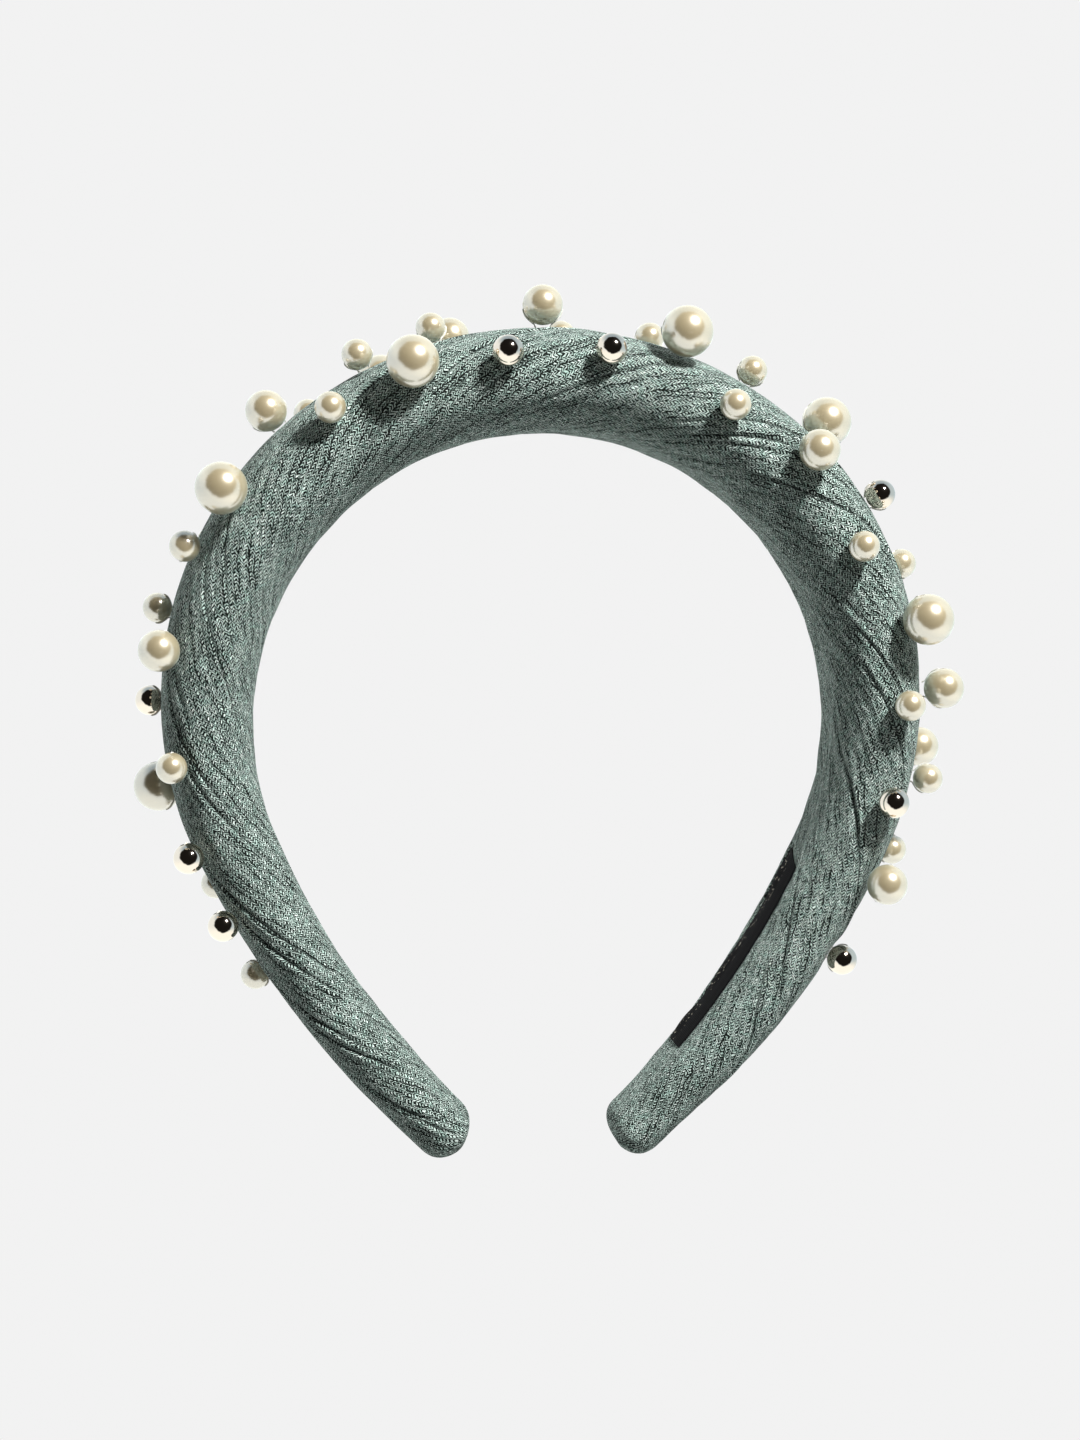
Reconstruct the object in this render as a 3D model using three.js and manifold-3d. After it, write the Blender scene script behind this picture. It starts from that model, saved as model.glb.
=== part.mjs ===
// Padded headband with sewn-on beads. Millimetres, +Z up, +Y towards the back of the head.
//
// The band is a horseshoe: a round arch over the head that opens out into two slightly curved legs.
// From the head outwards it holds a knitted cover, a springy plastic hoop and a foam pad, and a short
// ribbon label lies inside the right leg. The hoop is one piece that bends all over; here it is cut at
// two flex planes, and each leg turns about a hinge on the band's outer edge there.
//
// The origin is the middle of the cover's flat facet that sits on top of the head.

import * as THREE from 'three';
import { mergeVertices } from 'three/addons/utils/BufferGeometryUtils.js';
import Module from 'manifold-3d';

const wasm = await Module();
wasm.setup();

// ---------------------------------------------------------------- driving dimensions

const ARCH_RADIUS = 57.6;        // inner face of the cover, over the arch
const ARCH_END = 113;            // degrees from the top, where the arch turns into a leg
const LEG_RADIUS = 169;          // the leg's gentler curve
const HALF_LENGTH = 185;         // from the top to a tip, along the inner face
const CROWN_THICKNESS = 21;
const TIP_THICKNESS = 11.8;
const CROWN_DEPTH = 37;          // front to back
const TIP_DEPTH = 24;
const THICKNESS_TAPER = [37, HALF_LENGTH];   // stretch of the inner face over which it thins
const DEPTH_TAPER = [30, HALF_LENGTH];
const FLEX_ANGLE = 50;           // degrees from the top

const COVER_WALL = 0.9;
const CLEARANCE = 0.3;           // between layers that touch on the real object
const HOOP_DEPTH = 12;
const HOOP_TIP_DEPTH = 8;
const HOOP_THICKNESS = 1.8;
const HOOP_LIFT = 0.6;           // its edges clear the cover's curved inner side
const HOOP_END_GAP = 10;         // the hoop stops inside the padded tips
const LABEL_WIDTH = 10.5;
const LABEL_THICKNESS = 0.5;
const LABEL_START = 118;         // along the inner face of the right leg
const LABEL_END = 163;
const BEAD_HOLE_RADIUS = 0.5;

const OUTER_FULLNESS = 2.3;      // section exponent: 2 is an ellipse, more is squarer
const INNER_FULLNESS = 2.2;
const SECTION_SIDES = 16;
const STRIP_SIDES = 4;
const CROWN_FACETS = 9;          // odd, so that one flat facet lies across the top
const LEG_FACETS = 12;

const BEADS = {
  pearl_large: { diameter: 10, around: 12, arcs: 7, color: 0xe9e3d2, roughness: 0.25, metalness: 0 },
  pearl_medium: { diameter: 8, around: 12, arcs: 6, color: 0xe9e3d2, roughness: 0.25, metalness: 0 },
  pearl_small: { diameter: 6, around: 10, arcs: 5, color: 0xe9e3d2, roughness: 0.25, metalness: 0 },
  silver_bead: { diameter: 6, around: 10, arcs: 5, color: 0xc8c8c6, roughness: 0.12, metalness: 1 },
};

// Every bead: kind, degrees along the arch from the top (+ towards the right leg), and degrees
// round the section from its outer edge (+ towards the front).
const BEAD_PLACES = [
  ['pearl_large', -100.5, -40], ['pearl_small', -96, 61], ['silver_bead', -87.5, -28],
  ['pearl_medium', -79, 52], ['pearl_small', -74, -21], ['pearl_small', -64, 39],
  ['pearl_large', -54.5, 54], ['pearl_medium', -42.5, 19], ['pearl_small', -35.5, 65],
  ['pearl_small', -37.5, -54], ['pearl_small', -28, 18], ['pearl_large', -22, 68],
  ['pearl_small', -16.5, -13], ['pearl_medium', -13.5, -46], ['pearl_medium', -1, 0],
  ['pearl_small', 3, -48], ['silver_bead', -8, 73], ['silver_bead', 7.5, 70],
  ['pearl_small', 15.5, -28], ['pearl_large', 18, 40], ['pearl_small', 30, -1],
  ['pearl_small', 28, 79], ['pearl_large', 43, -9], ['pearl_medium', 42.5, 70],
  ['silver_bead', 55, 8], ['pearl_small', 58.5, 84], ['pearl_small', 66, -14],
  ['pearl_large', 73, 60], ['pearl_medium', 84, 26], ['pearl_small', 85.5, 79],
  ['pearl_medium', 93.5, -22], ['pearl_small', 97.5, 15], ['silver_bead', 101.5, 81],
  ['pearl_small', 109.5, -11], ['pearl_medium', 114.5, 56], ['silver_bead', 130.5, 31],
  ['silver_bead', -110, 49], ['pearl_small', -118.5, -51], ['silver_bead', -123, 46],
  ['pearl_small', -136, -25],
  // scattered over the back
  ['pearl_medium', -88, -70], ['pearl_small', -62, -62], ['silver_bead', -44, -76],
  ['pearl_large', -25, -66], ['pearl_small', -3, -76], ['pearl_medium', 23, -70],
  ['pearl_large', 60, -64], ['pearl_small', 84, -66],
];

// ---------------------------------------------------------------- values worked out from them

const DEGREE = Math.PI / 180;
const ARCH_LENGTH = ARCH_RADIUS * ARCH_END * DEGREE;
const FLEX_PLACE = ARCH_RADIUS * FLEX_ANGLE * DEGREE;
const LABEL_TOP = -CLEARANCE;
const LABEL_BOTTOM = LABEL_TOP - LABEL_THICKNESS;
const HOOP_BOTTOM = COVER_WALL + CLEARANCE + HOOP_LIFT;
const HOOP_TOP = HOOP_BOTTOM + HOOP_THICKNESS;
const TIP_ROUNDING = TIP_THICKNESS * 0.4;
const FACET_HALF_ANGLE = FLEX_PLACE / CROWN_FACETS / ARCH_RADIUS;
const SEAT_FALL = Math.cos(Math.PI / SECTION_SIDES) ** (2 / INNER_FULLNESS);
const SEAT_HEIGHT = CROWN_THICKNESS / 2 * (1 - SEAT_FALL);     // of the section's lowest facet
const ARCH_CENTRE_Z = -(ARCH_RADIUS + SEAT_HEIGHT) * Math.cos(FACET_HALF_ANGLE);

function smooth(value, [start, end]) {
  return THREE.MathUtils.smoothstep(value, start, end);
}

function thickness(place) {
  const worn = smooth(Math.abs(place), THICKNESS_TAPER);
  return THREE.MathUtils.lerp(CROWN_THICKNESS, TIP_THICKNESS, worn);
}

// A depth that narrows from the crown to the tips.
function taperedDepth(place, crown, tip) {
  return THREE.MathUtils.lerp(crown, tip, smooth(Math.abs(place), DEPTH_TAPER));
}

// ---------------------------------------------------------------- the band's centre line

// The point at a distance along the inner face, with the angle that the outward direction there
// makes with straight up.
function inBand(place) {
  const length = Math.abs(place);
  const side = Math.sign(place) || 1;
  const onArch = Math.min(length, ARCH_LENGTH) / ARCH_RADIUS;
  const onLeg = Math.max(length - ARCH_LENGTH, 0) / LEG_RADIUS;
  const angle = onArch + onLeg;
  const x = ARCH_RADIUS * Math.sin(onArch) + LEG_RADIUS * (Math.sin(angle) - Math.sin(onArch));
  const z = ARCH_RADIUS * Math.cos(onArch) + LEG_RADIUS * (Math.cos(angle) - Math.cos(onArch));
  return { x: side * x, z: ARCH_CENTRE_Z + z, angle: side * angle };
}

// A point of the section: y front to back, height outwards from the cover's inner face.
function pointOnBand(place, y, height) {
  const { x, z, angle } = inBand(place);
  return new THREE.Vector3(x + height * Math.sin(angle), y, z + height * Math.cos(angle));
}

function directionOnBand(place, y, height) {
  return pointOnBand(place, y, height).sub(pointOnBand(place, 0, 0));
}

// ---------------------------------------------------------------- sections

function signedPower(value, exponent) {
  return Math.sign(value) * Math.abs(value) ** exponent;
}

// How much of the section is left near a rounded end.
function endRounding(place, end) {
  const past = (Math.abs(place) - end) / TIP_ROUNDING + 1;
  if (past <= 0) return 1;
  return Math.max(0.3, Math.sqrt(Math.max(0, 1 - past * past)));
}

// The oval outline of the padded band: turn is an angle round the section from its back edge.
function outlinePoint(place, turn, end) {
  const left = endRounding(place, end);
  const depth = taperedDepth(place, CROWN_DEPTH, TIP_DEPTH) * (0.4 + 0.6 * left);
  const fullness = Math.sin(turn) > 0 ? OUTER_FULLNESS : INNER_FULLNESS;
  const y = depth / 2 * signedPower(Math.cos(turn), 2 / fullness);
  const height = thickness(place) / 2 * (1 + left * signedPower(Math.sin(turn), 2 / fullness));
  return new THREE.Vector2(y, height);
}

// The outline's outward normal, from two neighbouring points.
function outlineNormal(place, turn, end) {
  const step = 0.002;
  const along = outlinePoint(place, turn + step, end).sub(outlinePoint(place, turn - step, end));
  return new THREE.Vector2(along.y, -along.x).normalize();
}

// The outline moved inwards by a layer's depth below the cover's face.
function insetOutline(inset, end) {
  return (place, corner) => {
    const turn = (corner + 0.5) / SECTION_SIDES * 2 * Math.PI;
    const normal = outlineNormal(place, turn, end);
    return outlinePoint(place, turn, end).addScaledVector(normal, -inset);
  };
}

// A flat strip's section, its four corners taken in turn.
function stripSection(crownDepth, tipDepth, bottom, top) {
  return (place, corner) => {
    const half = taperedDepth(place, crownDepth, tipDepth) / 2;
    const corners = [[half, top], [-half, top], [-half, bottom], [half, bottom]];
    return new THREE.Vector2(...corners[corner]);
  };
}

// ---------------------------------------------------------------- solids

// The facet lines that every layer of a segment shares, so that the layers stay evenly apart.
function facetLines(segment) {
  const lines = [];
  for (let i = 0; i <= segment.facets; i++) {
    lines.push(THREE.MathUtils.lerp(segment.from, segment.to, i / segment.facets));
  }
  return lines;
}

// Places of one layer from its cut to its free end, closer together where a free end rounds off.
function layerPlaces(segment, endGap, overrun = 0, rounding = TIP_ROUNDING) {
  const cut = CLEARANCE / 2 - overrun;
  const lines = facetLines(segment);
  if (!segment.tip) {
    return [segment.from + cut, ...lines.slice(1, -1), segment.to - cut];
  }
  const end = HALF_LENGTH - endGap;
  const kept = lines.slice(1).filter((line) => Math.abs(line) < end - rounding - 1);
  const places = [segment.from + segment.tip * cut, ...kept];
  const rounded = rounding ? [0, 0.5, 0.85, 1] : [1];
  for (const part of rounded) places.push(segment.tip * (end - rounding * (1 - part)));
  return places;
}

// A straight extruded blank with one corner per section point, bent onto the band.
function sweep(section, sides, places) {
  const ordered = places[0] < places.at(-1) ? places : [...places].reverse();
  const rim = [];
  for (let i = 0; i < sides; i++) {
    const turn = (i + 0.5) / sides * 2 * Math.PI;
    rim.push(new THREE.Vector2(Math.cos(turn), Math.sin(turn)));
  }
  const steps = ordered.length - 1;
  const blank = new THREE.ExtrudeGeometry(new THREE.Shape(rim), {
    depth: steps, steps, bevelEnabled: false,
  });
  const solid = joinVertices(blank);
  const position = solid.attributes.position;
  for (let i = 0; i < position.count; i++) {
    const turn = Math.atan2(position.getY(i), position.getX(i));
    const corner = (Math.round(turn / (2 * Math.PI) * sides - 0.5) + sides) % sides;
    const place = ordered[Math.round(position.getZ(i))];
    const { x: y, y: height } = section(place, corner);
    position.setXYZ(i, ...pointOnBand(place, y, height).toArray());
  }
  return solid;
}

function joinVertices(geometry) {
  geometry.deleteAttribute('normal');
  geometry.deleteAttribute('uv');
  return mergeVertices(geometry, 1e-4);
}

function toManifold(geometry) {
  const mesh = new wasm.Mesh({
    numProp: 3,
    vertProperties: new Float32Array(geometry.attributes.position.array),
    triVerts: new Uint32Array(geometry.index.array),
  });
  return new wasm.Manifold(mesh);
}

function subtract(solid, tool) {
  const { vertProperties, triVerts } = toManifold(solid).subtract(toManifold(tool)).getMesh();
  const geometry = new THREE.BufferGeometry();
  geometry.setAttribute('position', new THREE.BufferAttribute(vertProperties, 3));
  geometry.setIndex(new THREE.BufferAttribute(triVerts, 1));
  return geometry;
}

// ---------------------------------------------------------------- materials

function material(color, roughness, metalness = 0) {
  return new THREE.MeshStandardMaterial({ color, roughness, metalness });
}

const knit = material(0x5f6b65, 0.95);
const ribbon = material(0x141414, 0.6);
const plastic = material(0x222222, 0.5);
const foam = material(0xe4e0d4, 1);
const beadMaterials = {};
for (const [kind, bead] of Object.entries(BEADS)) {
  beadMaterials[kind] = material(bead.color, bead.roughness, bead.metalness);
}

// ---------------------------------------------------------------- the band's three segments

const group = new THREE.Group();

function addMesh(name, geometry, surface) {
  const mesh = new THREE.Mesh(geometry, surface);
  mesh.name = name;
  group.add(mesh);
  return mesh;
}

// A tip of 0 means that the segment is open at both ends; otherwise it is the side of its free end.
const SEGMENTS = [
  { name: 'crown', from: -FLEX_PLACE, to: FLEX_PLACE, tip: 0, facets: CROWN_FACETS },
  { name: 'left_leg', from: -FLEX_PLACE, to: -HALF_LENGTH, tip: -1, facets: LEG_FACETS },
  { name: 'right_leg', from: FLEX_PLACE, to: HALF_LENGTH, tip: 1, facets: LEG_FACETS },
];

function addCover(segment) {
  const outside = sweep(insetOutline(0, HALF_LENGTH), SECTION_SIDES, layerPlaces(segment, 0));
  const inside = insetOutline(COVER_WALL, HALF_LENGTH - COVER_WALL);
  const hollow = sweep(inside, SECTION_SIDES, layerPlaces(segment, COVER_WALL, 1));
  addMesh(`cover_${segment.name}`, subtract(outside, hollow), knit);
}

function addFoam(segment) {
  const inset = COVER_WALL + CLEARANCE;
  const outline = insetOutline(inset, HALF_LENGTH - inset);
  const pad = sweep(outline, SECTION_SIDES, layerPlaces(segment, inset));
  const slotDepth = HOOP_DEPTH + 2 * CLEARANCE;
  const slotTipDepth = HOOP_TIP_DEPTH + 2 * CLEARANCE;
  const slot = stripSection(slotDepth, slotTipDepth, -CLEARANCE, HOOP_TOP + CLEARANCE);
  const channel = sweep(slot, STRIP_SIDES, layerPlaces(segment, 0, 1, 0));
  addMesh(`foam_pad_${segment.name}`, subtract(pad, channel), foam);
}

function addHoop(segment) {
  const section = stripSection(HOOP_DEPTH, HOOP_TIP_DEPTH, HOOP_BOTTOM, HOOP_TOP);
  const places = layerPlaces(segment, HOOP_END_GAP, 0, 0);
  addMesh(`hoop_core_${segment.name}`, sweep(section, STRIP_SIDES, places), plastic);
}

function addLabel(segment) {
  const section = stripSection(LABEL_WIDTH, LABEL_WIDTH, LABEL_BOTTOM, LABEL_TOP);
  const lines = facetLines(segment).filter((line) => line > LABEL_START && line < LABEL_END);
  addMesh('label_ribbon', sweep(section, STRIP_SIDES, [LABEL_START, ...lines, LABEL_END]), ribbon);
}

for (const segment of SEGMENTS) {
  addCover(segment);
  addHoop(segment);
  addFoam(segment);
}
addLabel(SEGMENTS.at(-1));

// ---------------------------------------------------------------- beads

// A ball with a hole for the sewing thread, its axis along +Y.
function beadGeometry({ diameter, around, arcs }) {
  const radius = diameter / 2;
  const start = Math.asin(BEAD_HOLE_RADIUS / radius);
  const profile = [];
  for (let i = 0; i <= arcs; i++) {
    const turn = THREE.MathUtils.lerp(start, Math.PI - start, i / arcs);
    profile.push(new THREE.Vector2(radius * Math.sin(turn), -radius * Math.cos(turn)));
  }
  profile.push(profile[0].clone());
  return joinVertices(new THREE.LatheGeometry(profile, around));
}

// A bead rests on the cover with its hole along the band.
function addBead(kind, number, archDegrees, lean) {
  const bead = BEADS[kind];
  const place = archDegrees * DEGREE * ARCH_RADIUS;
  const turn = (90 + lean) * DEGREE;
  const foot = outlinePoint(place, turn, HALF_LENGTH);
  const normal = outlineNormal(place, turn, HALF_LENGTH);
  const centre = foot.clone().addScaledVector(normal, bead.diameter / 2 + CLEARANCE);
  const mesh = addMesh(`${kind}_${number}`, beadGeometry(bead), beadMaterials[kind]);
  mesh.position.copy(pointOnBand(place, centre.x, centre.y));
  const away = directionOnBand(place, normal.x, normal.y).normalize();
  const front = new THREE.Vector3(0, -1, 0);
  const outward = directionOnBand(place, 0, 1);
  const along = new THREE.Vector3().crossVectors(outward, front).normalize();
  const across = new THREE.Vector3().crossVectors(along, away).normalize();
  mesh.quaternion.setFromRotationMatrix(new THREE.Matrix4().makeBasis(across, along, away));
}

const counts = {};
for (const [kind, archDegrees, lean] of BEAD_PLACES) {
  counts[kind] = (counts[kind] ?? 0) + 1;
  addBead(kind, counts[kind], archDegrees, lean);
}

export default group;
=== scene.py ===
"""Padded knit headband with sewn-on beads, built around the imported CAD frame. Metres, +Z up."""

import math

import bpy
import numpy as np
from mathutils import Matrix, Vector


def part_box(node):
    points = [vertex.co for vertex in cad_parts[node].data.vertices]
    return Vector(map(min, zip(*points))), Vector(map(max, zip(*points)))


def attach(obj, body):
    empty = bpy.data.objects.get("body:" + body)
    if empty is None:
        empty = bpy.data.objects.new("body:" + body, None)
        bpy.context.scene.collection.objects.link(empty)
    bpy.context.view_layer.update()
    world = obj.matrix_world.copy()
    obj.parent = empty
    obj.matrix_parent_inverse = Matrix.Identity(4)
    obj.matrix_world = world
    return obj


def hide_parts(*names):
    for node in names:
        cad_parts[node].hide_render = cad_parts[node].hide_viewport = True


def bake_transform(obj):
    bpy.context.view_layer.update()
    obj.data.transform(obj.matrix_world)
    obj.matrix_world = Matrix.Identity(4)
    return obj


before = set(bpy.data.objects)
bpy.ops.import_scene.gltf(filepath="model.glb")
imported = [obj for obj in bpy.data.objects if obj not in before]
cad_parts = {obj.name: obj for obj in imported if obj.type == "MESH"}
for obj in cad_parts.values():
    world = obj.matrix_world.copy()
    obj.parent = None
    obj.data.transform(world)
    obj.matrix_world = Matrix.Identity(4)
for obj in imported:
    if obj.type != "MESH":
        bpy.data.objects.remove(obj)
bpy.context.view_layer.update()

MM = 0.001

# ------------------------------------------------------------------ the band's dimensions, as in the CAD

ARCH_RADIUS = 57.6 * MM
ARCH_END = math.radians(113)
LEG_RADIUS = 169 * MM
HALF_LENGTH = 185 * MM
CROWN_THICKNESS = 21 * MM
TIP_THICKNESS = 11.8 * MM
CROWN_DEPTH = 37 * MM
TIP_DEPTH = 24 * MM
THICKNESS_TAPER = (37 * MM, HALF_LENGTH)
DEPTH_TAPER = (30 * MM, HALF_LENGTH)
OUTER_FULLNESS = 2.3
INNER_FULLNESS = 2.2
SECTION_SIDES = 16
CROWN_FACETS = 9
FLEX_ANGLE = math.radians(50)
COVER_WALL = 0.9 * MM
CLEARANCE = 0.3 * MM
HOOP_DEPTH = (12 * MM, 8 * MM)
HOOP_THICKNESS = 1.8 * MM
HOOP_LIFT = 0.6 * MM
HOOP_END_GAP = 10 * MM          # from its end to the band's
HOOP_ROUNDING = 4 * MM          # length of its rounded end
LABEL_WIDTH = 10.5 * MM
LABEL_START = 118 * MM
LABEL_END = 163 * MM
LABEL_THICKNESS = 0.3 * MM      # of the woven ribbon; the CAD's solid is 0.5 mm thick
LABEL_SINK = 0.42 * MM          # how far it is pressed into the padding
LABEL_GAP = 0.06 * MM           # between it and the cover
LABEL_SLANT = 0.35              # of its upper end, which is cut at a slant
LABEL_RIB = 0.36 * MM           # from one woven rib to the next
LABEL_BUCKLE = 0.45 * MM        # how far its back edge stands off

ARCH_LENGTH = ARCH_RADIUS * ARCH_END
TIP_ROUNDING = TIP_THICKNESS * 0.4
HOOP_BOTTOM = COVER_WALL + CLEARANCE + HOOP_LIFT
HOOP_TOP = HOOP_BOTTOM + HOOP_THICKNESS
SEAT_FALL = math.cos(math.pi / SECTION_SIDES) ** (2 / INNER_FULLNESS)
SEAT_HEIGHT = CROWN_THICKNESS / 2 * (1 - SEAT_FALL)
ARCH_CENTRE_Z = -(ARCH_RADIUS + SEAT_HEIGHT) * math.cos(FLEX_ANGLE / CROWN_FACETS)
ARCH_CENTRE = Vector((0, 0, ARCH_CENTRE_Z))

BEAD_DIAMETERS = {
    "pearl_large": 10 * MM,
    "pearl_medium": 8 * MM,
    "pearl_small": 6 * MM,
    "silver_bead": 6 * MM,
}

# ------------------------------------------------------------------ the knit

COLUMNS = 240                   # mesh columns round the band
STATION_STEP = 0.8 * MM         # between mesh rings along it
WALE = 1.07 * MM                # width of a column of stitches
STITCH = 0.62 * MM              # length of one stitch
FIRST_STITCH = 500              # the count at the top of the band, so that no stitch has a number below 0
CROWN_WRAP = math.radians(33)   # angle between the stitch columns and the band
TIP_WRAP = math.radians(25)
GIRTH_SHARE = 1.55              # a section's girth, roughly, over its thickness and depth together

BLEND_FROM = math.radians(20)   # the stretch of the arch between the beads that move with the crown and those that move with a leg
BLEND_TO = math.radians(80)

# Pleats where the cover was pulled round the band: degrees along the arch, degrees round
# the section from its outer edge (+ to the front), half length and depth in millimetres.
PLEATS = [
    (-9, 44, 24, 0.55), (-1, 62, 21, 0.5), (8, 84, 18, 0.45), (-24, 38, 18, 0.5), (-32, 100, 14, 0.35),
    (36, 62, 20, 0.65), (39, 72, 22, 0.6), (46, 92, 18, 0.5), (31, 106, 14, 0.4), (58, 50, 16, 0.45),
    (-62, 70, 20, 0.4), (-78, 96, 22, 0.45), (-92, 62, 24, 0.5), (-106, 96, 20, 0.4),
    (-122, 66, 22, 0.6), (-134, 84, 20, 0.65), (-146, 60, 18, 0.55), (-158, 92, 16, 0.6), (-168, 74, 12, 0.6),
    (-176, 96, 9, 0.5), (76, 100, 22, 0.45), (92, 74, 22, 0.5), (104, 118, 18, 0.4), (118, 64, 24, 0.5),
    (136, 100, 20, 0.4), (152, 70, 18, 0.45), (166, 96, 14, 0.4),
]
BACK_PLEATS = 26                # strewn at random over the back
FOLD_HEIGHT = 0.09 * MM         # of the fine folds between the pleats
# Per side, in millimetres: where it starts and is full, its height inside, outside and outside at the tip.
EXTRA_PADDING = {-1: (138, 165, 0.8, 0.4, 0.2), 1: (102, 138, 0.1, 1.0, -0.2)}
NEAR_TIP = (146 * MM, 176 * MM)  # the stretch over which its outside height turns into the one at the tip


def smoothstep(value, start, end):
    t = np.clip((value - start) / (end - start), 0, 1)
    return t * t * (3 - 2 * t)


def thickness(place):
    return CROWN_THICKNESS + (TIP_THICKNESS - CROWN_THICKNESS) * smoothstep(np.abs(place), *THICKNESS_TAPER)


def tapered(place, ends):
    return ends[0] + (ends[1] - ends[0]) * smoothstep(np.abs(place), *DEPTH_TAPER)


def in_band(place):
    """The point at a distance along the inner face, and the outward direction's angle from straight up."""
    length = np.abs(place)
    on_arch = np.minimum(length, ARCH_LENGTH) / ARCH_RADIUS
    angle = on_arch + np.maximum(length - ARCH_LENGTH, 0) / LEG_RADIUS
    x = ARCH_RADIUS * np.sin(on_arch) + LEG_RADIUS * (np.sin(angle) - np.sin(on_arch))
    z = ARCH_RADIUS * np.cos(on_arch) + LEG_RADIUS * (np.cos(angle) - np.cos(on_arch))
    side = np.where(place < 0, -1.0, 1.0)
    return side * x, ARCH_CENTRE_Z + z, side * angle


def on_band(place, y, height):
    """Points from a place along the band, a front-to-back distance and a height above the inner face."""
    x, z, angle = in_band(place)
    return np.stack([x + height * np.sin(angle), y + 0 * x, z + height * np.cos(angle)], axis=-1)


def signed_power(value, exponent):
    return np.sign(value) * np.abs(value) ** exponent


def outline(place, turn, end=HALF_LENGTH):
    """The padded section's outline; turn runs from the back edge over the outer side to the front."""
    past = np.clip((np.abs(place) - end) / TIP_ROUNDING + 1, 0, 1)
    left = np.sqrt(np.maximum(1 - past * past, 0))
    depth = tapered(place, (CROWN_DEPTH, TIP_DEPTH)) * (0.4 + 0.6 * left)
    exponent = 2 / np.where(np.sin(turn) > 0, OUTER_FULLNESS, INNER_FULLNESS)
    y = depth / 2 * signed_power(np.cos(turn), exponent)
    height = thickness(place) / 2 * (1 + left * signed_power(np.sin(turn), exponent))
    return y, height


# ------------------------------------------------------------------ node helpers


class Graph:
    """A small helper that writes a node tree as nested calls."""

    def __init__(self, tree):
        self.tree = tree

    def node(self, kind, inputs=None, **settings):
        made = self.tree.nodes.new(kind)
        for key, value in settings.items():
            setattr(made, key, value)
        for key, value in (inputs or {}).items():
            self.feed(made.inputs[key], value)
        return made

    def feed(self, socket, value):
        if isinstance(value, bpy.types.NodeSocket):
            self.tree.links.new(value, socket)
        else:
            socket.default_value = value

    def math(self, operation, *values):
        made = self.tree.nodes.new("ShaderNodeMath")
        made.operation = operation
        for socket, value in zip(made.inputs, values):
            self.feed(socket, value)
        return made.outputs[0]

    def add(self, a, b):
        return self.math("ADD", a, b)

    def subtract(self, a, b):
        return self.math("SUBTRACT", a, b)

    def multiply(self, a, b):
        return self.math("MULTIPLY", a, b)

    def smooth(self, value, low, high, to_low=0.0, to_high=1.0):
        made = self.node("ShaderNodeMapRange", {0: value, 1: low, 2: high, 3: to_low, 4: to_high})
        made.interpolation_type = "SMOOTHSTEP"
        return made.outputs[0]

    def mix(self, factor, a, b, blend="MIX"):
        made = self.tree.nodes.new("ShaderNodeMix")
        made.data_type = "RGBA"
        made.blend_type = blend
        self.feed(made.inputs[0], factor)
        self.feed(made.inputs[6], a)
        self.feed(made.inputs[7], b)
        return made.outputs[2]

    def noise(self, vector, scale, detail=2.0, roughness=0.5):
        inputs = {"Vector": vector, "Scale": scale, "Detail": detail, "Roughness": roughness}
        return self.node("ShaderNodeTexNoise", inputs).outputs["Fac"]

    def bump(self, height, distance, strength=1.0):
        inputs = {"Height": height, "Distance": distance, "Strength": strength}
        return self.node("ShaderNodeBump", inputs).outputs["Normal"]


def new_material(name):
    material = bpy.data.materials.new(name)
    material.use_nodes = True
    graph = Graph(material.node_tree)
    shader = material.node_tree.nodes["Principled BSDF"]
    return material, graph, shader


def settle(graph, shader, **values):
    """Feeds the shader's sockets by name, with _ for a space."""
    for key, value in values.items():
        graph.feed(shader.inputs[key.replace("_", " ")], value)


# ------------------------------------------------------------------ materials


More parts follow.
